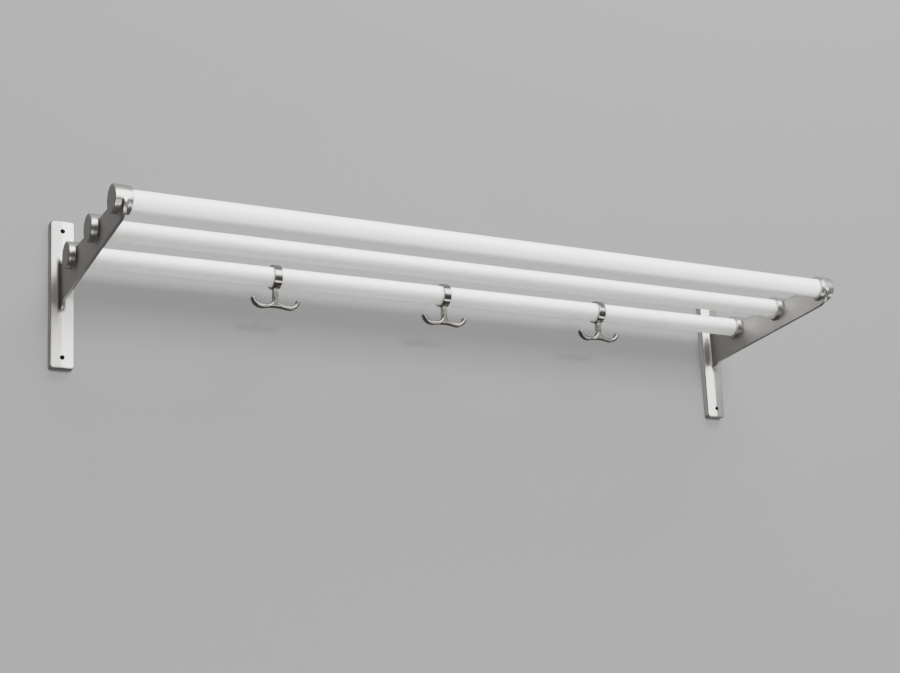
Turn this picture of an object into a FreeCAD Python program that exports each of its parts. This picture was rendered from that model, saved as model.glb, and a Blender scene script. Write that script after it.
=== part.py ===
import FreeCAD, Part
import os
import re
import Sketcher
from FreeCAD import Vector
from math import radians, sin

# A wall-mounted hat and coat rack. Two mirrored cast brackets carry three round rails in cups,
# a grub screw locks each rail end, and three clip-on coat hooks slide along the rear rail.
# Frame: origin in the wall plane, at the centre of the four wall-screw holes.
# +X runs along the rails, +Y into the wall, +Z up. Lengths are in millimetres, angles in degrees.

SIZES = {
    # overall layout
    "bracket_span": 990.0,          # between the mid-planes of the two wall plates
    "rail_radius": 12.5,
    "rail_wall": 1.5,
    "rail_pitch": 95.5,             # from rail to rail, along Y
    "rail_rise": 2.8,               # each rail sits this much above the one behind it
    "rear_rail_reach": 73.0,        # wall to the rear rail's axis
    "rear_rail_height": 30.0,       # centre of the screw holes to the rear rail's axis
    # wall plate
    "plate_width": 30.0,
    "plate_height": 188.0,
    "plate_depth": 12.0,            # at the ridge
    "ridge_drop": 1.6,              # how far the two facets fall away from the ridge
    "plate_corner": 4.0,
    "plate_edge": 0.8,
    "screw_spacing": 161.0,
    "screw_hole_radius": 3.2,
    # web
    "web_thickness": 5.0,
    "web_offset": 1.2,              # web's mid-plane outside its plate's mid-plane
    "web_embed": 8.0,               # how far the web's root runs into the plate
    "web_top_offset": 7.0,          # web's top edge above the line of rail axes
    "root_radius": 11.0,            # hollow between the plate and the web's top edge
    "foot_radius": 16.0,            # hollow between the plate and the web's underside
    "underside_tilt": 5.25,
    "nose_wrap": 1.0,               # the web stands this far proud of the front cup
    "nose_sweep": 24.0,             # radius from the web's front edge into its underside
    # rail cups
    "cup_wall": 4.0,
    "cup_reach": 8.4,               # plate's mid-plane to the inner rim
    "boss_reach": 13.0,             # plate's mid-plane to the outer face
    "boss_end_wall": 3.0,
    "cup_edge": 1.0,
    "rail_fit": 0.1,                # radial clearance of a rail in its cup
    "rail_end_gap": 0.3,
    # grub screws
    "grub_radius": 1.5,
    "grub_fit": 0.05,
    "grub_seat_gap": 0.1,
    "grub_length": 3.9,
    "grub_socket_radius": 0.75,
    "grub_socket_depth": 1.5,
    # hooks
    "hook_left_x": -241.0,
    "hook_middle_x": 1.0,
    "hook_right_x": 248.0,
    "hook_fit": 0.3,                # radial clearance of the clip ring on its rail
    "ring_wall": 3.0,
    "ring_width": 11.0,
    "ring_edge": 0.8,
    "mouth_low": -30.0,             # the clip's mouth faces the wall, between these angles
    "mouth_high": 70.0,
    "stem_width": 6.0,
    "hook_depth": 8.5,              # thickness of the stem and prongs along Y
    "hook_edge": 1.6,
    "hook_drop": 42.2,              # rail axis to the lowest point of the prongs
    "belly_rise": 2.0,              # the underside arches up by this much under the stem
    "flare_radius": 10.0,
    "prong_centre": 18.5,           # stem's mid-plane to the centre of the prong's arc
    "prong_radius": 12.5,           # of the prong's mid-line
    "prong_thickness": 5.4,
    "prong_tip_angle": -16.0,
}

# Lengths that follow from the sizes, as expressions.
CUP_RADIUS = "(rail_radius + rail_fit + cup_wall)"
BORE_RADIUS = "(rail_radius + rail_fit)"
GRUB_OFFSET = "(web_thickness / 2 - web_offset + cup_reach) / 2"
NOSE_RADIUS = f"({CUP_RADIUS} + nose_wrap)"
RING_INNER = "(rail_radius + hook_fit)"
RING_MIDDLE = f"({RING_INNER} + ring_wall / 2)"
RING_OUTER = f"({RING_INNER} + ring_wall)"
RAILS = ("rear", "middle", "front")

doc = FreeCAD.newDocument("CoatRack")
sheet = doc.addObject("Spreadsheet::Sheet", "Sizes")
for row, (alias, value) in enumerate(SIZES.items(), start=1):
    sheet.set(f"A{row}", alias)
    sheet.set(f"B{row}", repr(value))
    sheet.setAlias(f"B{row}", alias)
doc.recompute()


def rail_y(index):
    """Expression for a rail axis's Y, counted from the rear rail."""
    return f"(-rear_rail_reach - {index} * rail_pitch)"


def rail_z(index):
    return f"(rear_rail_height + {index} * rail_rise)"


def bound(text):
    """Point each size named in an expression at its cell."""
    return re.sub(r"[a-z][a-z_]+", lambda w: f"Sizes.{w[0]}" if w[0] in SIZES else w[0], text)


def evaluate(text):
    return float(sheet.evalExpression(bound(text)))


def bind(feature, name, text):
    feature.setExpression(name, bound(text))


def new_body(name):
    body = doc.addObject("PartDesign::Body", name)
    body.Label = name
    return body


def new_sketch(body, name, plane, offset="0"):
    """A sketch on one of the body's own origin planes, moved by offset along its normal."""
    sketch = body.newObject("Sketcher::SketchObject", name)
    support = [f for f in body.Origin.OriginFeatures if f.Role == plane][0]
    sketch.AttachmentSupport = [(support, "")]
    sketch.MapMode = "FlatFace"
    bind(sketch, ".AttachmentOffset.Base.z", offset)
    return sketch


def fix(sketch, kind, *where, to):
    """Add a dimension and bind it to an expression."""
    index = sketch.addConstraint(Sketcher.Constraint(kind, *where, evaluate(to)))
    sketch.renameConstraint(index, f"size{index}")
    bind(sketch, f"Constraints.size{index}", to)


def place(sketch, geometry, point, across, up):
    fix(sketch, "DistanceX", -1, 1, geometry, point, to=across)
    fix(sketch, "DistanceY", -1, 1, geometry, point, to=up)


def add_circle(sketch, across, up, radius):
    centre = Vector(evaluate(across), evaluate(up), 0)
    circle = sketch.addGeometry(Part.Circle(centre, Vector(0, 0, 1), evaluate(radius)))
    place(sketch, circle, 3, across, up)
    fix(sketch, "Radius", circle, to=radius)


def add_arc(sketch, across, up, radius, start, end):
    """An arc between two angles; each end is held along the axis on which the angle moves it most."""
    centre = Vector(evaluate(across), evaluate(up), 0)
    circle = Part.Circle(centre, Vector(0, 0, 1), evaluate(radius))
    angles = [radians(evaluate(angle)) for angle in (start, end)]
    arc = sketch.addGeometry(Part.ArcOfCircle(circle, *angles))
    place(sketch, arc, 3, across, up)
    fix(sketch, "Radius", arc, to=radius)
    for point, angle in ((1, start), (2, end)):
        if abs(sin(radians(evaluate(angle)))) > 0.7:
            fix(sketch, "DistanceX", -1, 1, arc, point, to=f"({across}) + {radius} * cos({angle})")
        else:
            fix(sketch, "DistanceY", -1, 1, arc, point, to=f"({up}) + {radius} * sin({angle})")


def add_line(sketch, start, end):
    """A straight line between two points, each a pair of expressions."""
    points = [Vector(evaluate(a), evaluate(u), 0) for a, u in (start, end)]
    line = sketch.addGeometry(Part.LineSegment(*points))
    place(sketch, line, 1, *start)
    place(sketch, line, 2, *end)


def add_outline(sketch, corners):
    """A closed outline of straight lines."""
    for start, end in zip(corners, corners[1:] + corners[:1]):
        add_line(sketch, start, end)


def extrude(body, kind, name, sketch, length, back=None, symmetric=False):
    """A Pad or Pocket; back is its length on the sketch's other side."""
    feature = body.newObject(f"PartDesign::{kind}", name)
    feature.Profile = sketch
    if symmetric:
        feature.SideType = "Symmetric"
    if back:
        feature.SideType = "Two sides"
        bind(feature, "Length2", back)
    bind(feature, "Length", length)
    sketch.Visibility = False
    doc.recompute()
    return feature


def round_edges(body, kind, name, radius, wanted):
    """Fillet or chamfer the edges of the body's tip that the test picks."""
    base = body.Tip
    names = [f"Edge{i}" for i, edge in enumerate(base.Shape.Edges, start=1) if wanted(edge)]
    feature = body.newObject(f"PartDesign::{kind}", name)
    feature.Base = (base, names)
    bind(feature, "Radius" if kind == "Fillet" else "Size", radius)
    doc.recompute()


def is_circle(edge, radius):
    return isinstance(edge.Curve, Part.Circle) and abs(edge.Curve.Radius - radius) < 0.01


def make_bracket(name, inward):
    """One casting: wall plate, web and rail cups. inward is the direction of the rack's middle."""
    body = new_body(name)
    bind(body, ".Placement.Base.x", f"{-inward} * bracket_span / 2")

    # Wall plate with rounded corners, and a front face of two facets that meet in a ridge.
    outline = new_sketch(body, f"{name}_plate_outline", "XZ_Plane")
    half_width, half_height = "plate_width / 2", "plate_height / 2"
    inner_width = f"({half_width} - plate_corner)"
    inner_height = f"({half_height} - plate_corner)"
    for across, up, quarter in ((1, 1, 0), (-1, 1, 90), (-1, -1, 180), (1, -1, 270)):
        add_arc(outline, f"{across} * {inner_width}", f"{up} * {inner_height}",
                "plate_corner", f"{quarter}", f"{quarter + 90}")
    for side in (1, -1):
        add_line(outline, (f"{side} * {half_width}", f"{-side} * {inner_height}"),
                 (f"{side} * {half_width}", f"{side} * {inner_height}"))
        add_line(outline, (f"{side} * {inner_width}", f"{side} * {half_height}"),
                 (f"{-side} * {inner_width}", f"{side} * {half_height}"))
    extrude(body, "Pad", f"{name}_plate", outline, "plate_depth")
    for side in (1, -1):
        facet = new_sketch(body, f"{name}_facet_outline_{side + 1}", "XY_Plane")
        add_outline(facet, [("0", "-plate_depth"),
                            (f"{side} * plate_width / 2", "ridge_drop - plate_depth"),
                            (f"{side} * plate_width / 2", "-plate_depth")])
        extrude(body, "Pocket", f"{name}_facet_{side + 1}", facet, "plate_height", symmetric=True)
    back = evaluate("ridge_drop - plate_depth") + 0.01
    round_edges(body, "Fillet", f"{name}_plate_edge", "plate_edge",
                lambda e: e.BoundBox.YMax < back and abs(e.CenterOfMass.x) > 0.01)

    # Web: straight top edge beside the rail axes, nose round the front cup, front edge swept into
    # the underside.
    web_x = f"{-inward} * web_offset"
    nose_y, nose_z = rail_y(2), f"({rail_z(2)} - nose_wrap)"
    sweep_y = f"({nose_y} - {NOSE_RADIUS} + nose_sweep)"
    slope = "atan(rail_rise / rail_pitch)"
    foot_y, root_y = "(-plate_depth - foot_radius)", "(-plate_depth - root_radius)"
    under_y = f"({sweep_y} - nose_sweep * sin(underside_tilt))"
    under_z = f"({nose_z} - nose_sweep * cos(underside_tilt))"
    foot_z = (f"({under_z} - tan(underside_tilt) * ({foot_y} - {under_y})"
              " - foot_radius / cos(underside_tilt))")
    root_z = (f"(rear_rail_height + web_top_offset + root_radius / cos({slope})"
              f" - ({root_y} + rear_rail_reach) * rail_rise / rail_pitch)")
    foot_start = f"({foot_y} + foot_radius * sin(underside_tilt))"
    root_start = f"({root_y} - root_radius * sin({slope}))"
    embedded = "(web_embed - plate_depth)"
    web = new_sketch(body, f"{name}_web_outline", "YZ_Plane", offset=web_x)
    add_arc(web, sweep_y, nose_z, "nose_sweep", "180", "270 - underside_tilt")
    corners = [(under_y, under_z),
               (foot_start, f"{foot_z} + foot_radius * cos(underside_tilt)"),
               (foot_start, foot_z),
               (embedded, foot_z),
               (embedded, root_z),
               (root_start, root_z),
               (root_start, f"{root_z} - root_radius * cos({slope})"),
               (rail_y(2), f"{rail_z(2)} + web_top_offset"),
               (f"({nose_y} - {NOSE_RADIUS})", nose_z)]
    for start, end in zip(corners, corners[1:]):
        add_line(web, start, end)
    extrude(body, "Pad", f"{name}_web", web, "web_thickness", symmetric=True)
    nose = new_sketch(body, f"{name}_nose_outline", "YZ_Plane", offset=web_x)
    add_circle(nose, nose_y, nose_z, NOSE_RADIUS)
    extrude(body, "Pad", f"{name}_nose", nose, "web_thickness", symmetric=True)
    hollows = new_sketch(body, f"{name}_hollow_outline", "YZ_Plane", offset=web_x)
    add_circle(hollows, foot_y, foot_z, "foot_radius")
    add_circle(hollows, root_y, root_z, "root_radius")
    extrude(body, "Pocket", f"{name}_hollows", hollows, "web_thickness", symmetric=True)

    # Cups: a short rim towards the rails, a longer closed boss on the outer side.
    cups = new_sketch(body, f"{name}_cup_outline", "YZ_Plane")
    bores = new_sketch(body, f"{name}_bore_outline", "YZ_Plane")
    for index in range(len(RAILS)):
        add_circle(cups, rail_y(index), rail_z(index), CUP_RADIUS)
        add_circle(bores, rail_y(index), rail_z(index), BORE_RADIUS)
    reaches = ["cup_reach", "boss_reach"][::inward]
    extrude(body, "Pad", f"{name}_cups", cups, reaches[0], back=reaches[1])
    cup_radius = evaluate(CUP_RADIUS)
    round_edges(body, "Fillet", f"{name}_cup_edges", "cup_edge",
                lambda e: is_circle(e, cup_radius) and abs(e.CenterOfMass.x) > evaluate("web_thickness"))
    depths = ["boss_reach - boss_end_wall", "cup_reach + cup_edge"][::inward]
    extrude(body, "Pocket", f"{name}_bores", bores, depths[0], back=depths[1])

    # Screw holes: two through the plate, and one through the wall side of each cup's rim.
    holes = new_sketch(body, f"{name}_screw_outline", "XZ_Plane", offset="plate_depth")
    for end in (1, -1):
        add_circle(holes, "0", f"{end} * screw_spacing / 2", "screw_hole_radius")
    extrude(body, "Pocket", f"{name}_screw_holes", holes, "plate_depth")
    for index, rail in enumerate(RAILS):
        hole = new_sketch(body, f"{name}_{rail}_grub_outline", "XZ_Plane", offset=f"-{rail_y(index)}")
        add_circle(hole, f"{inward} * {GRUB_OFFSET}", rail_z(index), "grub_radius + grub_fit")
        extrude(body, "Pocket", f"{name}_{rail}_grub_hole", hole, CUP_RADIUS)


def make_rail(name, index):
    """A lacquered tube, its ends inside the cups."""
    body = new_body(name)
    bind(body, ".Placement.Base.y", rail_y(index))
    bind(body, ".Placement.Base.z", rail_z(index))
    section = new_sketch(body, f"{name}_section", "YZ_Plane")
    add_circle(section, "0", "0", "rail_radius")
    add_circle(section, "0", "0", "rail_radius - rail_wall")
    extrude(body, "Pad", f"{name}_tube", section,
            "bracket_span + 2 * (boss_reach - boss_end_wall - rail_end_gap)", symmetric=True)


def make_grub_screw(name, index, inward):
    """A socket-head grub screw, its tip a hair clear of the rail."""
    body = new_body(name)
    bind(body, ".Placement.Base.x", f"{-inward} * bracket_span / 2 + {inward} * {GRUB_OFFSET}")
    bind(body, ".Placement.Base.y", rail_y(index))
    bind(body, ".Placement.Base.z", rail_z(index))
    tip = "(rail_radius + grub_seat_gap)"
    shank = new_sketch(body, f"{name}_shank_outline", "XZ_Plane", offset=f"-{tip} - grub_length")
    add_circle(shank, "0", "0", "grub_radius")
    extrude(body, "Pad", f"{name}_shank", shank, "grub_length")
    socket = new_sketch(body, f"{name}_socket_outline", "XZ_Plane",
                        offset=f"grub_socket_depth - {tip} - grub_length")
    corners = [(f"grub_socket_radius * cos({turn})", f"grub_socket_radius * sin({turn})")
               for turn in range(0, 360, 60)]
    add_outline(socket, corners)
    extrude(body, "Pocket", f"{name}_socket", socket, "grub_socket_depth")


def make_hook(name, place_x):
    """One casting: an open clip ring, a stem below it and two upturned prongs."""
    body = new_body(name)
    bind(body, ".Placement.Base.x", place_x)
    bind(body, ".Placement.Base.y", rail_y(0))
    bind(body, ".Placement.Base.z", rail_z(0))

    # Stem and prongs as one outline, each half drawn from the ring down to the belly.
    prong_z = "(prong_thickness / 2 + prong_radius - hook_drop)"
    inner, outer = "(prong_radius - prong_thickness / 2)", "(prong_radius + prong_thickness / 2)"
    flare_z = f"({prong_z} - {inner} + flare_radius)"
    flare_x = "(stem_width / 2 + flare_radius)"
    top_z = f"-{RING_MIDDLE}"
    tip_angle = "(prong_tip_angle * 1 deg)"
    # The belly's arc meets both prongs' outer arcs at a tangent.
    belly_radius = (f"((prong_centre * prong_centre + ({outer} - belly_rise) * ({outer} - belly_rise)"
                    f" - {outer} * {outer}) / (2 * belly_rise))")
    belly_z = f"(belly_rise - hook_drop - {belly_radius})"
    belly_turn = f"asin(prong_centre / ({belly_radius} + {outer}))"
    sketch = new_sketch(body, f"{name}_prong_outline", "XZ_Plane")
    add_line(sketch, ("stem_width / 2", top_z), ("-stem_width / 2", top_z))
    add_arc(sketch, "0", belly_z, belly_radius, f"90 deg - {belly_turn}", f"90 deg + {belly_turn}")
    for side in (1, -1):
        def mirrored(angle):
            return angle if side == 1 else f"180 deg - ({angle})"

        def ordered(start, end):
            return (mirrored(start), mirrored(end))[::side]

        stem_x = f"{side} * stem_width / 2"
        centre_x = f"{side} * prong_centre"
        tip_x = f"{side} * (prong_centre + prong_radius * cos(prong_tip_angle))"
        tip_z = f"({prong_z} + prong_radius * sin(prong_tip_angle))"
        add_line(sketch, (stem_x, top_z), (stem_x, flare_z))
        add_arc(sketch, f"{side} * {flare_x}", flare_z, "flare_radius", *ordered("180 deg", "270 deg"))
        add_line(sketch, (f"{side} * {flare_x}", f"{prong_z} - {inner}"),
                 (centre_x, f"{prong_z} - {inner}"))
        add_arc(sketch, centre_x, prong_z, inner, *ordered("-90 deg", tip_angle))
        add_arc(sketch, tip_x, tip_z, "(prong_thickness / 2)",
                *ordered(tip_angle, f"{tip_angle} + 180 deg"))
        add_arc(sketch, centre_x, prong_z, outer, *ordered(f"-90 deg - {belly_turn}", tip_angle))
    extrude(body, "Pad", f"{name}_prongs", sketch, "hook_depth", symmetric=True)
    front = evaluate("hook_depth / 2")
    top = evaluate(top_z)
    round_edges(body, "Fillet", f"{name}_prong_edges", "hook_edge",
                lambda e: (abs(abs(e.BoundBox.YMin) - front) < 0.01 and e.BoundBox.YLength < 0.01
                           and e.BoundBox.ZMin < top - 0.01))

    # The clip ring, with round lips at its mouth.
    ring = new_sketch(body, f"{name}_ring_outline", "YZ_Plane")
    add_arc(ring, "0", "0", RING_OUTER, "mouth_high", "mouth_low + 360")
    add_arc(ring, "0", "0", RING_INNER, "mouth_high", "mouth_low + 360")
    add_arc(ring, f"{RING_MIDDLE} * cos(mouth_high)", f"{RING_MIDDLE} * sin(mouth_high)",
            "(ring_wall / 2)", "mouth_high - 180", "mouth_high")
    add_arc(ring, f"{RING_MIDDLE} * cos(mouth_low)", f"{RING_MIDDLE} * sin(mouth_low)",
            "(ring_wall / 2)", "mouth_low", "mouth_low + 180")
    extrude(body, "Pad", f"{name}_ring", ring, "ring_width", symmetric=True)
    # Clear the bore, where the stem's top reaches into it.
    bore = new_sketch(body, f"{name}_bore_outline", "YZ_Plane")
    add_circle(bore, "0", "0", RING_INNER)
    extrude(body, "Pocket", f"{name}_bore", bore, "ring_width", symmetric=True)
    side_face = evaluate("ring_width / 2")
    round_edges(body, "Fillet", f"{name}_ring_edges", "ring_edge",
                lambda e: (abs(abs(e.CenterOfMass.x) - side_face) < 0.01
                           and is_circle(e, evaluate(RING_OUTER))))


for side_name, inward in (("left", 1), ("right", -1)):
    make_bracket(f"{side_name}_bracket", inward)
    for index, rail in enumerate(RAILS):
        make_grub_screw(f"{side_name}_{rail}_grub_screw", index, inward)
for index, rail in enumerate(RAILS):
    make_rail(f"{rail}_rail", index)
for where in ("left", "middle", "right"):
    make_hook(f"hook_{where}", f"hook_{where}_x")
doc.recompute()

for item in doc.Objects:
    if {"Invalid", "Error"} & set(item.State):
        raise RuntimeError(f"{item.Label} failed: {item.State}")
bodies = [item for item in doc.Objects if item.TypeId == "PartDesign::Body"]
for body in bodies:
    if body.Shape.isNull() or not body.Shape.isValid() or len(body.Shape.Solids) != 1:
        raise RuntimeError(f"{body.Label} is not one valid solid")
os.makedirs("parts", exist_ok=True)
for body in bodies:
    body.Shape.exportStep(f"parts/{body.Label}.step")
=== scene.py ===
from math import asin, atan, cos, degrees, hypot, pi, radians, sin, tan

import bmesh
import bpy
from mathutils import Matrix, Vector


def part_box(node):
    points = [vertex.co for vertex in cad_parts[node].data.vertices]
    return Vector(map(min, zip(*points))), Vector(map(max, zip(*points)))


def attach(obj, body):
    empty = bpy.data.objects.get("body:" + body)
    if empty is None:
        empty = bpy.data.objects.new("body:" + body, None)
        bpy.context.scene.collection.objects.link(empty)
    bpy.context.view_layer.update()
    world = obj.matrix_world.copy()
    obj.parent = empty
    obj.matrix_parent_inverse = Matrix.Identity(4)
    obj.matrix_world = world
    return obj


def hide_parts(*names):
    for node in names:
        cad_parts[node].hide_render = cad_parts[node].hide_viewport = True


# A wall-mounted hat and coat rack: two cast brackets, three lacquered rails and three sliding hooks.
# Sizes are in millimetres times MM, so every mesh is in metres; +X runs along the rails, +Y into
# the wall, +Z up, and the origin lies in the wall plane, midway between the four screw holes.

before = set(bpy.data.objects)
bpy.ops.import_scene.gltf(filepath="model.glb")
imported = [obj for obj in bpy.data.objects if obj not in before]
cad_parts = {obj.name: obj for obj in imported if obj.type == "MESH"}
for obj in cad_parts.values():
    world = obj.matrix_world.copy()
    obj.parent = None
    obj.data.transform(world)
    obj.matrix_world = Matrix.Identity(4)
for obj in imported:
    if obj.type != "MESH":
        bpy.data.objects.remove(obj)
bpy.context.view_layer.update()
MM = 0.001


# ---- Camera ----------------------------------------------------------------------------------
# Stands below and to the left of the rack, at about waist height, and looks up along it.
# The lens is a short telephoto, shifted a little so that the rack sits off its axis.
bpy.ops.object.camera_add(location=(-0.98566, -1.9122, -0.59244))
camera = bpy.context.object
camera.name = "camera"
heading, climb, lean = -0.52103, 0.2057, -0.0522
level_right = Vector((cos(heading), sin(heading), 0))
ahead = Vector((-sin(heading) * cos(climb), cos(heading) * cos(climb), sin(climb)))
level_up = level_right.cross(ahead)
right = level_right * cos(lean) + level_up * sin(lean)
up = level_up * cos(lean) - level_right * sin(lean)
camera.rotation_mode = "QUATERNION"
camera.rotation_quaternion = Matrix((right, up, -ahead)).transposed().to_quaternion()
camera.data.lens = 64.352
camera.data.shift_x = -0.0494
camera.data.shift_y = 0.1030
bpy.context.scene.camera = camera


# ---- Wall, floor and studio light ------------------------------------------------------------
# The rack hangs on a plain matt wall over a pale floor. The wall is painted on its room side only,
# so that it doesn't hide the rack from behind.
wall_size, wall_gap, wall_middle, floor_size, floor_drop = 8, 0.4 * MM, 0.6, 14, 1.8
screw_spacing, screw_radius = 161 * MM, 3.2 * MM
shade_disc_radius, shade_disc_front = screw_radius - 0.1 * MM, 4 * MM


def deselect():
    bpy.ops.object.select_all(action="DESELECT")


def new_material(name, color, roughness, metallic=0.0):
    """A material with one Principled shader, whose constants sit on its own sockets."""
    material = bpy.data.materials.new(name)
    material.use_nodes = True
    shader = material.node_tree.nodes["Principled BSDF"]
    shader.inputs["Base Color"].default_value = (*color, 1)
    shader.inputs["Roughness"].default_value = roughness
    shader.inputs["Metallic"].default_value = metallic
    return material, material.node_tree, shader


def one_sided(tree, shader):
    """Let the surface show on its front side only."""
    geometry = tree.nodes.new("ShaderNodeNewGeometry")
    clear = tree.nodes.new("ShaderNodeBsdfTransparent")
    side = tree.nodes.new("ShaderNodeMixShader")
    tree.links.new(geometry.outputs["Backfacing"], side.inputs["Fac"])
    tree.links.new(shader.outputs["BSDF"], side.inputs[1])
    tree.links.new(clear.outputs["BSDF"], side.inputs[2])
    tree.links.new(side.outputs["Shader"], tree.nodes["Material Output"].inputs["Surface"])


deselect()
bpy.ops.mesh.primitive_plane_add(size=wall_size, location=(0, wall_gap, wall_middle),
                                 rotation=(pi / 2, 0, 0))
wall = bpy.context.object
wall.name = "wall"
wall.visible_shadow = False
wall.visible_diffuse = False
wall.visible_glossy = False
wall_paint, tree, shader = new_material("wall_paint", (0.122, 0.122, 0.122), 0.9)
shader.inputs["Emission Color"].default_value = (1, 1, 1, 1)
shader.inputs["Emission Strength"].default_value = 0.08
one_sided(tree, shader)
wall.data.materials.append(wall_paint)

# A black disc inside each screw hole is painted shade: it stands for the dark of the hole drilled in
# the wall.
hole_shade_black, tree, shader = new_material("hole_shade_black", (0.002, 0.002, 0.002), 0.9)
one_sided(tree, shader)
for node in ("left_bracket", "right_bracket"):
    low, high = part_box(node)
    for hole_z in (-screw_spacing / 2, screw_spacing / 2):
        deselect()
        bpy.ops.mesh.primitive_circle_add(vertices=32, radius=shade_disc_radius, fill_type="NGON",
                                          location=((low[0] + high[0]) / 2, -shade_disc_front, hole_z),
                                          rotation=(pi / 2, 0, 0))
        disc = bpy.context.object
        disc.name = "painted_hole_shade"
        disc.data.materials.append(hole_shade_black)

deselect()
bpy.ops.mesh.primitive_plane_add(size=floor_size, location=(0, 0, -floor_drop))
floor = bpy.context.object
floor.name = "floor"
floor_paint, tree, shader = new_material("floor_paint", (0.62, 0.61, 0.6), 0.8)
floor.data.materials.append(floor_paint)
floor.visible_glossy = False

# Soft grey surroundings: lighter overhead, darker to the left and behind the wall.
world = bpy.data.worlds.new("studio")
bpy.context.scene.world = world
world.use_nodes = True
tree = world.node_tree
direction = tree.nodes.new("ShaderNodeTexCoord")
shade = tree.nodes["Background"].inputs["Color"]
for aim, steps in (((0, 0, 1), ((0.0, 0.1), (0.36, 0.2), (0.52, 0.4), (0.65, 0.55), (1.0, 0.7))),
                   ((0.2, 0.94, 0.27), ((0.0, 1.0), (0.9, 1.0), (0.95, 0.26))),
                   ((-0.93, -0.3, 0.2), ((0.0, 1.0), (0.72, 1.0), (0.9, 0.16)))):
    towards = tree.nodes.new("ShaderNodeVectorMath")
    towards.operation = "DOT_PRODUCT"
    towards.inputs[1].default_value = Vector(aim).normalized()
    spread = tree.nodes.new("ShaderNodeMapRange")
    spread.inputs["From Min"].default_value = -1
    ramp = tree.nodes.new("ShaderNodeValToRGB")
    while len(ramp.color_ramp.elements) < len(steps):
        ramp.color_ramp.elements.new(0.5)
    for element, (where, grey) in zip(ramp.color_ramp.elements, steps):
        element.position = where
        element.color = (grey, grey, grey, 1)
    blend = tree.nodes.new("ShaderNodeMix")
    blend.data_type = "RGBA"
    blend.blend_type = "MULTIPLY"
    blend.inputs["Factor"].default_value = 1.0
    blend.inputs["B"].default_value = (1, 1, 1, 1)
    tree.links.new(direction.outputs["Generated"], towards.inputs[0])
    tree.links.new(towards.outputs["Value"], spread.inputs["Value"])
    tree.links.new(spread.outputs["Result"], ramp.inputs["Fac"])
    tree.links.new(ramp.outputs["Color"], blend.inputs["A"])
    tree.links.new(blend.outputs["Result"], shade)
    shade = blend.inputs["B"]
tree.nodes["Background"].inputs["Strength"].default_value = 0.9


def softbox(name, place, aim, width, height, power):
    """A soft area light at place, turned towards aim."""
    bpy.ops.object.light_add(type="AREA", location=place)
    lamp = bpy.context.object
    lamp.name = name
    lamp.data.shape = "RECTANGLE"
    lamp.data.size, lamp.data.size_y = width, height
    lamp.data.energy = power
    lamp.rotation_euler = (Vector(aim) - Vector(place)).to_track_quat("-Z", "Y").to_euler()


deselect()
softbox("overhead_softbox", (0.4, -1.6, 2.4), (0, -0.1, 0), 3.0, 1.6, 240)
bpy.context.object.visible_glossy = False
softbox("front_softbox", (1.0, -3.3, 2.0), (0.3, 0, 0.1), 3.0, 3.8, 245)
bpy.context.object.visible_diffuse = False
softbox("low_softbox", (0.6, -1.3, -1.6), (0, -0.1, 0), 3.0, 0.45, 14)
bpy.context.object.visible_diffuse = False

# A broad low light straight from the front, kept out of the metal's reflections.
deselect()
bpy.ops.object.light_add(type="SUN", location=(0, -3, 1))
key = bpy.context.object
key.name = "key_light"
key.data.energy = 7.4
key.data.angle = radians(13)
key.rotation_euler = Vector((0.03, 0.98, -0.19)).to_track_quat("-Z", "Y").to_euler()
key.visible_glossy = False


# ---- Brackets --------------------------------------------------------------------------------
# Each bracket is one aluminium casting, bead-blasted to a satin: a wall plate with two facets, a web
# standing out from its ridge, and three cups that hold the rails. Bores and screw holes are drilled.
plate_width, plate_height, plate_depth = 30 * MM, 188 * MM, 12 * MM
plate_corner, plate_edge, ridge_drop = 4 * MM, 0.8 * MM, 1.6 * MM
web_thickness, web_x, web_top_offset = 5 * MM, -1.2 * MM, 7 * MM
root_radius, foot_radius, underside_tilt = 11 * MM, 16 * MM, radians(5.25)
nose_wrap, nose_sweep = 1 * MM, 24 * MM
rail_radius, rail_reach, rail_pitch = 12.5 * MM, 73 * MM, 95.5 * MM
rail_height, rail_rise = 30 * MM, 2.8 * MM
cup_radius, bore_radius = 16.6 * MM, 12.6 * MM
cup_reach, boss_reach, boss_end_wall = 8.4 * MM, 13 * MM, 3 * MM
rim_step, rim_width = 0.35 * MM, 3 * MM
bracket_x = (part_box("left_bracket")[0][0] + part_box("left_bracket")[1][0]) / 2
rails = {name: (-rail_reach - index * rail_pitch, rail_height + index * rail_rise)
         for index, name in enumerate(("rear_rail", "middle_rail", "front_rail"))}


def activate(piece):
    deselect()
    piece.select_set(True)
    bpy.context.view_layer.objects.active = piece


def edit(piece):
    """Enter edit mode with nothing selected."""
    activate(piece)
    bpy.ops.object.mode_set(mode="EDIT")
    bpy.ops.mesh.select_all(action="DESELECT")


def pick(piece, kind, wanted):
    """In edit mode, select the vertices, edges or faces that the test wants, and no others."""
    bpy.ops.mesh.select_mode(type=kind)
    bpy.ops.mesh.select_all(action="DESELECT")
    mesh = bmesh.from_edit_mesh(piece.data)
    for item in {"VERT": mesh.verts, "EDGE": mesh.edges, "FACE": mesh.faces}[kind]:
        if wanted(item):
            item.select_set(True)
    bmesh.update_edit_mesh(piece.data)


def leave():
    bpy.ops.object.mode_set(mode="OBJECT")


def settle(piece):
    """Bake the object's place, turn and scale into its mesh."""
    activate(piece)
    bpy.ops.object.transform_apply(location=True, rotation=True, scale=True)


def finish_modifier(piece, kind, **settings):
    """Add a modifier and apply it."""
    activate(piece)
    modifier = piece.modifiers.new(kind.lower(), kind)
    for name, value in settings.items():
        setattr(modifier, name, value)
    bpy.ops.object.modifier_apply(modifier=modifier.name)


def cut(piece, *tools):
    """Take each tool's shape out of the piece."""
    for tool in tools:
        finish_modifier(piece, "BOOLEAN", operation="DIFFERENCE", solver="EXACT", object=tool)
        bpy.data.objects.remove(tool)


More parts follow.
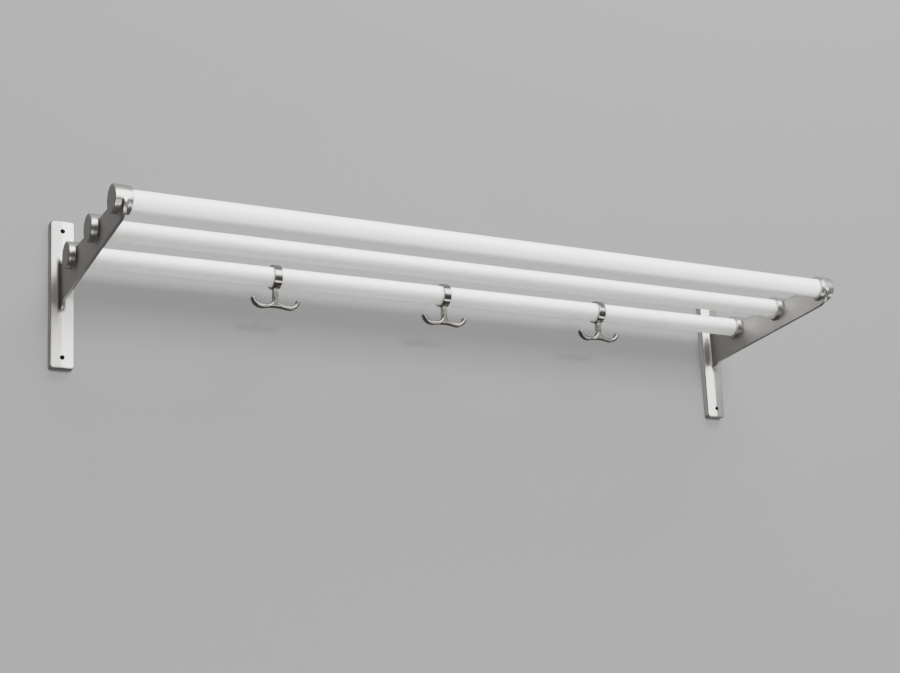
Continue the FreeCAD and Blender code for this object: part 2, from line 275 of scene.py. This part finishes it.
def weld(name, pieces):
    """Join overlapping pieces into one object."""
    activate(pieces[0])
    for piece in pieces:
        piece.select_set(True)
    bpy.ops.object.join()
    pieces[0].name = name
    return pieces[0]


def arc(centre, radius, start, end, steps):
    """Points along an arc, with its angles in degrees."""
    angles = [radians(start + (end - start) * step / steps) for step in range(steps + 1)]
    return [(centre[0] + radius * cos(angle), centre[1] + radius * sin(angle)) for angle in angles]


def slab(outline, low, high, axis="X"):
    """A flat slab: an outline in the plane across the axis, extruded from low to high along it."""
    deselect()
    bpy.ops.mesh.primitive_circle_add(vertices=len(outline), radius=1, fill_type="NGON")
    piece = bpy.context.object
    for vertex, (across, height) in zip(piece.data.vertices, outline):
        vertex.co = (low, across, height) if axis == "X" else (across, low, height)
    edit(piece)
    bpy.ops.mesh.select_all(action="SELECT")
    reach = (high - low, 0, 0) if axis == "X" else (0, high - low, 0)
    bpy.ops.mesh.extrude_region_move(TRANSFORM_OT_translate={"value": reach})
    bpy.ops.mesh.select_all(action="SELECT")
    bpy.ops.mesh.normals_make_consistent(inside=False)
    leave()
    return piece


def rod(radius, low, high, centre, axis="X", edge=0.0, vertices=96):
    """A round bar along X or Y, from low to high, its end edges rounded by edge."""
    deselect()
    middle = (low + high) / 2
    spot = (middle, *centre) if axis == "X" else (centre[0], middle, centre[1])
    turned = (0, pi / 2, 0) if axis == "X" else (pi / 2, 0, 0)
    bpy.ops.mesh.primitive_cylinder_add(vertices=vertices, radius=radius, depth=high - low,
                                        location=spot, rotation=turned)
    piece = bpy.context.object
    settle(piece)
    if edge:
        edit(piece)
        pick(piece, "EDGE", lambda e: e.is_manifold and e.calc_face_angle() > 1)
        bpy.ops.mesh.bevel(offset=edge, segments=4, affect="EDGES")
        leave()
    return piece


# The wall plate: a block with its four corners rounded, split along the ridge and fallen to each side.
deselect()
bpy.ops.mesh.primitive_cube_add(size=1, location=(0, -plate_depth / 2, 0),
                                scale=(plate_width, plate_depth, plate_height))
plate = bpy.context.object
settle(plate)
edit(plate)
pick(plate, "EDGE", lambda e: abs(e.verts[0].co.y - e.verts[1].co.y) > plate_depth / 2)
bpy.ops.mesh.bevel(offset=plate_corner, segments=8, affect="EDGES")
bpy.ops.mesh.select_all(action="SELECT")
bpy.ops.mesh.bisect(plane_co=(0, 0, 0), plane_no=(1, 0, 0))
leave()
for vertex in plate.data.vertices:
    if vertex.co.y < -plate_depth / 2:
        vertex.co.y += ridge_drop * abs(vertex.co.x) / (plate_width / 2)
edit(plate)
pick(plate, "EDGE", lambda e: all(v.co.y < -plate_depth / 2 for v in e.verts)
     and e.calc_face_angle() > 1)
bpy.ops.mesh.bevel(offset=plate_edge, segments=3, affect="EDGES")
leave()

# The web: a hollow at its foot and its root, a straight top edge, and a nose that wraps the front cup
# from below and fades out in front of it.
front_y, front_z = rails["front_rail"]
nose_z = front_z - nose_wrap
nose_radius = cup_radius + nose_wrap
sweep_y = front_y - nose_radius + nose_sweep
tilt, slope = tan(underside_tilt), rail_rise / rail_pitch
foot_y = -plate_depth - foot_radius
root_y = -plate_depth - root_radius
under_y = sweep_y - nose_sweep * sin(underside_tilt)
under_z = nose_z - nose_sweep * cos(underside_tilt)
foot_z = under_z - tilt * (foot_y - under_y) - foot_radius / cos(underside_tilt)
root_z = (rail_height + web_top_offset + root_radius / cos(atan(slope))
          - (root_y + rail_reach) * slope)
fade_angle, fade_radius = 16, 8 * MM
fade_centre = (sweep_y - (nose_sweep - fade_radius) * cos(radians(fade_angle)),
               nose_z - (nose_sweep - fade_radius) * sin(radians(fade_angle)))
web_outline = (arc(fade_centre, fade_radius, 120, 180 + fade_angle, 14)[:-1]
               + arc((sweep_y, nose_z), nose_sweep, 180 + fade_angle, 270 - degrees(underside_tilt), 28)
               + arc((foot_y, foot_z), foot_radius, 90 - degrees(underside_tilt), 0, 24)
               + [(-plate_depth / 2, foot_z), (-plate_depth / 2, root_z)]
               + arc((root_y, root_z), root_radius, 0, -90 - degrees(atan(slope)), 20)
               + [(front_y, front_z + web_top_offset)])
web_faces = (web_x - web_thickness / 2, web_x + web_thickness / 2)
web = slab(web_outline, *web_faces)

# The cups: a closed boss outside the web, and inside it a short rim with a turned-down lip. The front
# cup is relieved a little underneath, outside the web and inside.
cups = []
for rail_y, rail_z in rails.values():
    cups.append(rod(cup_radius, -boss_reach, cup_reach - rim_width, (rail_y, rail_z), edge=1 * MM))
    cups.append(rod(cup_radius - rim_step, 0, cup_reach, (rail_y, rail_z), edge=0.8 * MM))
pad_depth, pad_start, pad_end = 0.6 * MM, 203, 285
boss_margin, rim_overlap = 1.5 * MM, 1 * MM
pad = (arc((front_y, front_z), cup_radius - pad_depth, pad_start, pad_end, 24)
       + arc((front_y, front_z), cup_radius + pad_depth, pad_end, pad_start, 24))
cut(cups[4], slab(pad, -boss_reach + boss_margin, web_faces[0]),
    slab(pad, web_faces[1], cup_reach - rim_width + rim_overlap))

# Cast in one: the pieces are fused into one skin, its sharp corners worn soft by the blasting.
bracket = weld("left_bracket_casting", [plate, web] + cups)
finish_modifier(bracket, "REMESH", mode="VOXEL", voxel_size=0.55 * MM, use_smooth_shade=True)
root_reach, root_low, root_high, cup_corner = 6 * MM, -32 * MM, 54 * MM, 2 * MM


def off_web(vertex):
    """How far a vertex stands out from the web's faces."""
    return abs(vertex.co.x - web_x) - web_thickness / 2


def near_root(vertex):
    """Close to the inside corner between web and plate."""
    x, y, z = vertex.co
    off_plate = y + plate_depth - ridge_drop / 4
    return hypot(off_web(vertex), off_plate) < root_reach and root_low < z < root_high


def near_cup(vertex):
    """Close to the inside corner between a cup and the web."""
    x, y, z = vertex.co
    return any(hypot(off_web(vertex), hypot(y - rail_y, z - rail_z) - cup_radius) < cup_corner
               for rail_y, rail_z in rails.values())


edit(bracket)
for corner, times in ((near_root, 80), (near_cup, 8)):
    pick(bracket, "VERT", corner)
    bpy.ops.mesh.vertices_smooth(factor=0.5, repeat=times)
bpy.ops.mesh.select_all(action="SELECT")
bpy.ops.mesh.vertices_smooth(factor=0.5, repeat=9)
leave()
finish_modifier(bracket, "DECIMATE", ratio=0.4)

# Machined last: the rail bores with a broken edge, the grub-screw holes and the two wall-screw holes.
# Then the back is faced flat. A tool that breaks through the skin runs a little past it.
grub_x = (web_faces[1] + cup_reach) / 2
grub_radius = 1.55 * MM
broken_edge, overshoot = 0.5 * MM, 2 * MM
for rail_y, rail_z in rails.values():
    bore = rod(bore_radius, -boss_reach + boss_end_wall, cup_reach - broken_edge, (rail_y, rail_z),
               vertices=128)
    edit(bore)
    pick(bore, "FACE", lambda f: f.normal.x > 0.9)
    bpy.ops.mesh.extrude_region_move(TRANSFORM_OT_translate={"value": (2 * broken_edge, 0, 0)})
    spread = (bore_radius + 2 * broken_edge) / bore_radius
    bpy.ops.transform.resize(value=(1, spread, spread), center_override=(0, rail_y, rail_z))
    leave()
    cut(bracket, bore,
        rod(grub_radius, rail_y + bore_radius - overshoot / 2, rail_y + cup_radius + overshoot,
            (grub_x, rail_z), axis="Y", vertices=32))
for end in (1, -1):
    cut(bracket, rod(screw_radius, -plate_depth - overshoot, overshoot, (0, end * screw_spacing / 2),
                     axis="Y", vertices=48))
facing = [(-plate_height, -plate_height), (plate_height, -plate_height),
          (plate_height, plate_height), (-plate_height, plate_height)]
cut(bracket, slab(facing, 0, 5 * overshoot, axis="Y"))
activate(bracket)
bpy.ops.object.shade_smooth_by_angle(angle=radians(62))


def grain(tree, shader, size, depth, smooth, rough, seed=0.0):
    """Fine bumps of the given size and depth, and a slow drift of roughness from smooth to rough."""
    place = tree.nodes.new("ShaderNodeTexCoord")
    fine = tree.nodes.new("ShaderNodeTexNoise")
    fine.inputs["Scale"].default_value = 1 / size
    fine.inputs["Detail"].default_value = 3
    drift = tree.nodes.new("ShaderNodeTexNoise")
    drift.noise_dimensions = "4D"
    drift.inputs["W"].default_value = seed
    drift.inputs["Scale"].default_value = 1 / (40 * MM)
    drift.inputs["Detail"].default_value = 4
    gloss = tree.nodes.new("ShaderNodeMapRange")
    gloss.inputs["From Min"].default_value = 0.3
    gloss.inputs["From Max"].default_value = 0.7
    gloss.inputs["To Min"].default_value = smooth
    gloss.inputs["To Max"].default_value = rough
    bump = tree.nodes.new("ShaderNodeBump")
    bump.inputs["Strength"].default_value = 1.0
    bump.inputs["Distance"].default_value = depth
    tree.links.new(place.outputs["Object"], fine.inputs["Vector"])
    tree.links.new(place.outputs["Object"], drift.inputs["Vector"])
    tree.links.new(drift.outputs["Fac"], gloss.inputs["Value"])
    tree.links.new(gloss.outputs["Result"], shader.inputs["Roughness"])
    tree.links.new(fine.outputs["Fac"], bump.inputs["Height"])
    tree.links.new(bump.outputs["Normal"], shader.inputs["Normal"])
    return drift.outputs["Fac"]


def tint(tree, shader, mask, dark, light):
    """Let the colour wander between two near tones with the mask."""
    tones = tree.nodes.new("ShaderNodeValToRGB")
    tones.color_ramp.elements[0].position = 0.3
    tones.color_ramp.elements[0].color = (*dark, 1)
    tones.color_ramp.elements[1].position = 0.7
    tones.color_ramp.elements[1].color = (*light, 1)
    tree.links.new(mask, tones.inputs["Fac"])
    tree.links.new(tones.outputs["Color"], shader.inputs["Base Color"])


# Blasted and clear-coated aluminium: a dull silver with a warm cast and a very fine even grain.
satin, tree, shader = new_material("satin_aluminium", (0.62, 0.605, 0.58), 0.34, 1.0)
mask = grain(tree, shader, 0.5 * MM, 0.005 * MM, 0.28, 0.35)
tint(tree, shader, mask, (0.585, 0.57, 0.545), (0.64, 0.625, 0.60))

# The web's two faces are left as blasted: rougher than the plate's front and the cups. Their colour is
# darkened too, which is painted shade.
web_rougher, web_painted_shade = 0.24, 0.84


def rising(tree, coordinate, axis, start, end):
    """A mask that goes from 0 to 1 as the coordinate, either side of zero, goes from start to end."""
    place = tree.nodes.new("ShaderNodeTexCoord")
    parts = tree.nodes.new("ShaderNodeSeparateXYZ")
    away = tree.nodes.new("ShaderNodeMath")
    away.operation = "ABSOLUTE"
    band = tree.nodes.new("ShaderNodeMapRange")
    band.inputs["From Min"].default_value = start
    band.inputs["From Max"].default_value = end
    tree.links.new(place.outputs[coordinate], parts.inputs["Vector"])
    tree.links.new(parts.outputs[axis], away.inputs[0])
    tree.links.new(away.outputs["Value"], band.inputs["Value"])
    return band.outputs["Result"]


on_web = tree.nodes.new("ShaderNodeMath")
on_web.operation = "MULTIPLY"
tree.links.new(rising(tree, "Normal", "X", 0.85, 0.98), on_web.inputs[0])
tree.links.new(rising(tree, "Object", "Y", plate_depth, plate_depth + root_reach), on_web.inputs[1])
rougher = tree.nodes.new("ShaderNodeMath")
rougher.operation = "MULTIPLY_ADD"
rougher.inputs[1].default_value = web_rougher
tree.links.new(on_web.outputs["Value"], rougher.inputs[0])
tree.links.new(shader.inputs["Roughness"].links[0].from_socket, rougher.inputs[2])
tree.links.new(rougher.outputs["Value"], shader.inputs["Roughness"])
# Painted shade: the base colour on these sideways faces is scaled down, so that they read darker.
painted_shade_factor = tree.nodes.new("ShaderNodeMapRange")
painted_shade_factor.inputs["To Min"].default_value = 1.0
painted_shade_factor.inputs["To Max"].default_value = web_painted_shade
painted_shade_color = tree.nodes.new("ShaderNodeVectorMath")
painted_shade_color.operation = "SCALE"
tree.links.new(on_web.outputs["Value"], painted_shade_factor.inputs["Value"])
tree.links.new(shader.inputs["Base Color"].links[0].from_socket, painted_shade_color.inputs["Vector"])
tree.links.new(painted_shade_factor.outputs["Result"], painted_shade_color.inputs["Scale"])
tree.links.new(painted_shade_color.outputs["Vector"], shader.inputs["Base Color"])
bracket.data.materials.clear()
bracket.data.materials.append(satin)

left_bracket = bracket
activate(left_bracket)
bpy.ops.object.duplicate()
right_bracket = bpy.context.object
right_bracket.name = "right_bracket_casting"
right_bracket.scale.x = -1
settle(right_bracket)
edit(right_bracket)
bpy.ops.mesh.select_all(action="SELECT")
bpy.ops.mesh.normals_make_consistent(inside=False)
leave()
for piece, node, where in ((left_bracket, "left_bracket", bracket_x),
                           (right_bracket, "right_bracket", -bracket_x)):
    piece.location.x = where
    settle(piece)
    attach(piece, "rack")
    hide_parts(node)


# ---- Rails -----------------------------------------------------------------------------------
# Three straight steel tubes in white stove lacquer. Each end is cut square, deburred and pushed into
# its cup, where a grub screw holds it.
rail_wall, rail_burr = 1.5 * MM, 0.3 * MM
rail_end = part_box("front_rail")[1][0]

first_rail = rod(rail_radius, -rail_end, rail_end, (0, 0), vertices=128)
edit(first_rail)
pick(first_rail, "FACE", lambda f: abs(f.normal.x) > 0.9)
bpy.ops.mesh.inset(thickness=rail_wall, use_individual=True)
bpy.ops.mesh.bridge_edge_loops()
pick(first_rail, "EDGE", lambda e: abs(e.verts[0].co.x - e.verts[1].co.x) < rail_wall
     and e.calc_face_angle(0) > 1)
bpy.ops.mesh.bevel(offset=rail_burr, segments=2, affect="EDGES")
leave()
activate(first_rail)
bpy.ops.object.shade_smooth_by_angle(angle=radians(40))

# Satin white lacquer with a faint orange peel.
lacquer, tree, shader = new_material("white_lacquer", (0.9, 0.9, 0.895), 0.3)
mask = grain(tree, shader, 2.2 * MM, 0.006 * MM, 0.24, 0.34)
tint(tree, shader, mask, (0.885, 0.885, 0.875), (0.915, 0.915, 0.91))
first_rail.data.materials.append(lacquer)
for name, (rail_y, rail_z) in rails.items():
    activate(first_rail)
    bpy.ops.object.duplicate()
    tube = bpy.context.object
    tube.name = f"{name}_tube"
    tube.location = (0, rail_y, rail_z)
    settle(tube)
    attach(tube, "rack")
    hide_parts(name)
bpy.data.objects.remove(first_rail)


# ---- Grub screws -----------------------------------------------------------------------------
# Six small grub screws of blackened steel, one in the wall side of each cup's rim. Each is a length of
# threaded bar with a hexagon socket in the end that faces the wall, screwed down onto the rail.
thread_radius, thread_depth, thread_pitch = 1.5 * MM, 0.25 * MM, 0.5 * MM
screw_length, socket_radius, socket_depth = 3.9 * MM, 0.75 * MM, 1.5 * MM
hair = 0.1 * MM

# The bar is as thick as the thread's root. It is cut across twice a turn, and every other ring of it is
# drawn out to the crest.
first_screw = rod(thread_radius - thread_depth, 0, screw_length, (0, 0), axis="Y", vertices=32)
edit(first_screw)
turns = int(screw_length / thread_pitch)
for step in range(1, 2 * turns):
    bpy.ops.mesh.select_all(action="SELECT")
    bpy.ops.mesh.bisect(plane_co=(0, step * thread_pitch / 2, 0), plane_no=(0, 1, 0))
pick(first_screw, "VERT", lambda v: hair < v.co.y < screw_length - hair
     and round(v.co.y / (thread_pitch / 2)) % 2 == 1)
crest = thread_radius / (thread_radius - thread_depth)
bpy.ops.transform.resize(value=(crest, 1, crest), center_override=(0, 0, 0))
leave()
cut(first_screw, rod(socket_radius, screw_length - socket_depth, screw_length + overshoot / 2, (0, 0),
                     axis="Y", vertices=6))
activate(first_screw)
bpy.ops.object.shade_smooth_by_angle(angle=radians(30))

# Blackened steel, worn lighter in places.
steel, tree, shader = new_material("screw_steel", (0.35, 0.35, 0.35), 0.35, 1.0)
mask = grain(tree, shader, 0.3 * MM, 0.004 * MM, 0.28, 0.45)
tint(tree, shader, mask, (0.31, 0.31, 0.315), (0.39, 0.39, 0.385))
first_screw.data.materials.append(steel)
for side_name in ("left", "right"):
    for rail_name in ("rear", "middle", "front"):
        node = f"{side_name}_{rail_name}_grub_screw"
        low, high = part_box(node)
        activate(first_screw)
        bpy.ops.object.duplicate()
        screw = bpy.context.object
        screw.name = f"{node}_thread"
        screw.location = ((low[0] + high[0]) / 2, low[1], (low[2] + high[2]) / 2)
        settle(screw)
        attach(screw, "rack")
        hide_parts(node)
bpy.data.objects.remove(first_screw)


# ---- Hooks -----------------------------------------------------------------------------------
# Three clip-on coat hooks that slide along the rear rail. Each is one small casting, a C-shaped ring
# with a stem and two upturned prongs below it, polished and plated in dark nickel.
ring_inner, ring_outer, ring_width, ring_edge = 12.8 * MM, 15.8 * MM, 11 * MM, 0.8 * MM
ring_middle, ring_wall = (ring_inner + ring_outer) / 2, ring_outer - ring_inner
mouth_low, mouth_high = -30, 70
stem_width, hook_depth, hook_edge, hook_drop = 6 * MM, 8.5 * MM, 2.5 * MM, 42.2 * MM
flare_radius, belly_rise = 10 * MM, 2 * MM
prong_centre, prong_radius, prong_thickness, tip_angle = 18.5 * MM, 12.5 * MM, 5.4 * MM, -16

prong_inner, prong_outer = prong_radius - prong_thickness / 2, prong_radius + prong_thickness / 2
prong_z = prong_outer - hook_drop
flare_z = prong_z - prong_inner + flare_radius
belly_radius = ((prong_centre ** 2 + (prong_outer - belly_rise) ** 2 - prong_outer ** 2)
                / (2 * belly_rise))
belly_turn = degrees(asin(prong_centre / (belly_radius + prong_outer)))
tip = (prong_centre + prong_radius * cos(radians(tip_angle)),
       prong_z + prong_radius * sin(radians(tip_angle)))
right_half = ([(stem_width / 2, -ring_middle)]
              + arc((stem_width / 2 + flare_radius, flare_z), flare_radius, 180, 270, 16)
              + arc((prong_centre, prong_z), prong_inner, -90, tip_angle, 20)
              + arc(tip, prong_thickness / 2, tip_angle + 180, tip_angle, 16)[1:-1]
              + arc((prong_centre, prong_z), prong_outer, tip_angle, -90 - belly_turn, 28))
belly = arc((0, belly_rise - hook_drop - belly_radius), belly_radius, 90 - belly_turn, 90, 8)[1:]
right_half += belly
left_half = [(-across, height) for across, height in reversed(right_half[:-1])]
prongs = slab(right_half + left_half, -hook_depth / 2, hook_depth / 2, axis="Y")
edit(prongs)
pick(prongs, "EDGE", lambda e: abs(e.verts[0].co.y - e.verts[1].co.y) < hair
     and max(v.co.z for v in e.verts) < -ring_middle - hair)
bpy.ops.mesh.bevel(offset=hook_edge, segments=6, affect="EDGES")
leave()

# The clip ring, its mouth turned to the wall and its two lips rounded off.
lip_high = [ring_middle * f(radians(mouth_high)) for f in (cos, sin)]
lip_low = [ring_middle * f(radians(mouth_low)) for f in (cos, sin)]
ring_outline = (arc((0, 0), ring_outer, mouth_high, mouth_low + 360, 140)
                + arc(lip_low, ring_wall / 2, mouth_low, mouth_low + 180, 12)[1:-1]
                + arc((0, 0), ring_inner, mouth_low + 360, mouth_high, 140)
                + arc(lip_high, ring_wall / 2, mouth_high - 180, mouth_high, 12)[1:-1])
ring = slab(ring_outline, -ring_width / 2, ring_width / 2)
edit(ring)
pick(ring, "EDGE", lambda e: abs(e.verts[0].co.x - e.verts[1].co.x) < hair
     and min(hypot(v.co.y, v.co.z) for v in e.verts) > ring_middle)
bpy.ops.mesh.bevel(offset=ring_edge, segments=4, affect="EDGES")
leave()

# Fused into one skin, and the corner between ring and stem filled and polished.
first_hook = weld("first_hook", [prongs, ring])
finish_modifier(first_hook, "REMESH", mode="VOXEL", voxel_size=0.32 * MM, use_smooth_shade=True)
neck_corner = 2.2 * MM


def near_neck(vertex):
    """Close to the corner between the stem and the ring's underside."""
    x, y, z = vertex.co
    off_ring = abs(hypot(y, z) - ring_outer)
    return z < -ring_inner and off_ring < neck_corner and abs(x) < ring_width / 2 - ring_edge


edit(first_hook)
pick(first_hook, "VERT", near_neck)
bpy.ops.mesh.vertices_smooth(factor=0.5, repeat=40)
bpy.ops.mesh.select_all(action="SELECT")
bpy.ops.mesh.vertices_smooth(factor=0.5, repeat=5)
leave()
activate(first_hook)
bpy.ops.object.shade_smooth()

# Dark polished nickel, with the faint smears of handling.
nickel, tree, shader = new_material("dark_nickel", (0.36, 0.34, 0.315), 0.08, 1.0)
mask = grain(tree, shader, 1.5 * MM, 0.0015 * MM, 0.06, 0.12)
tint(tree, shader, mask, (0.32, 0.3, 0.278), (0.4, 0.38, 0.355))
first_hook.data.materials.clear()
first_hook.data.materials.append(nickel)
rear_y, rear_z = rails["rear_rail"]
for node in ("hook_left", "hook_middle", "hook_right"):
    low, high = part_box(node)
    activate(first_hook)
    bpy.ops.object.duplicate()
    hook = bpy.context.object
    hook.name = f"{node}_casting"
    hook.location = ((low[0] + high[0]) / 2, rear_y, rear_z)
    settle(hook)
    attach(hook, node)
    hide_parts(node)
bpy.data.objects.remove(first_hook)
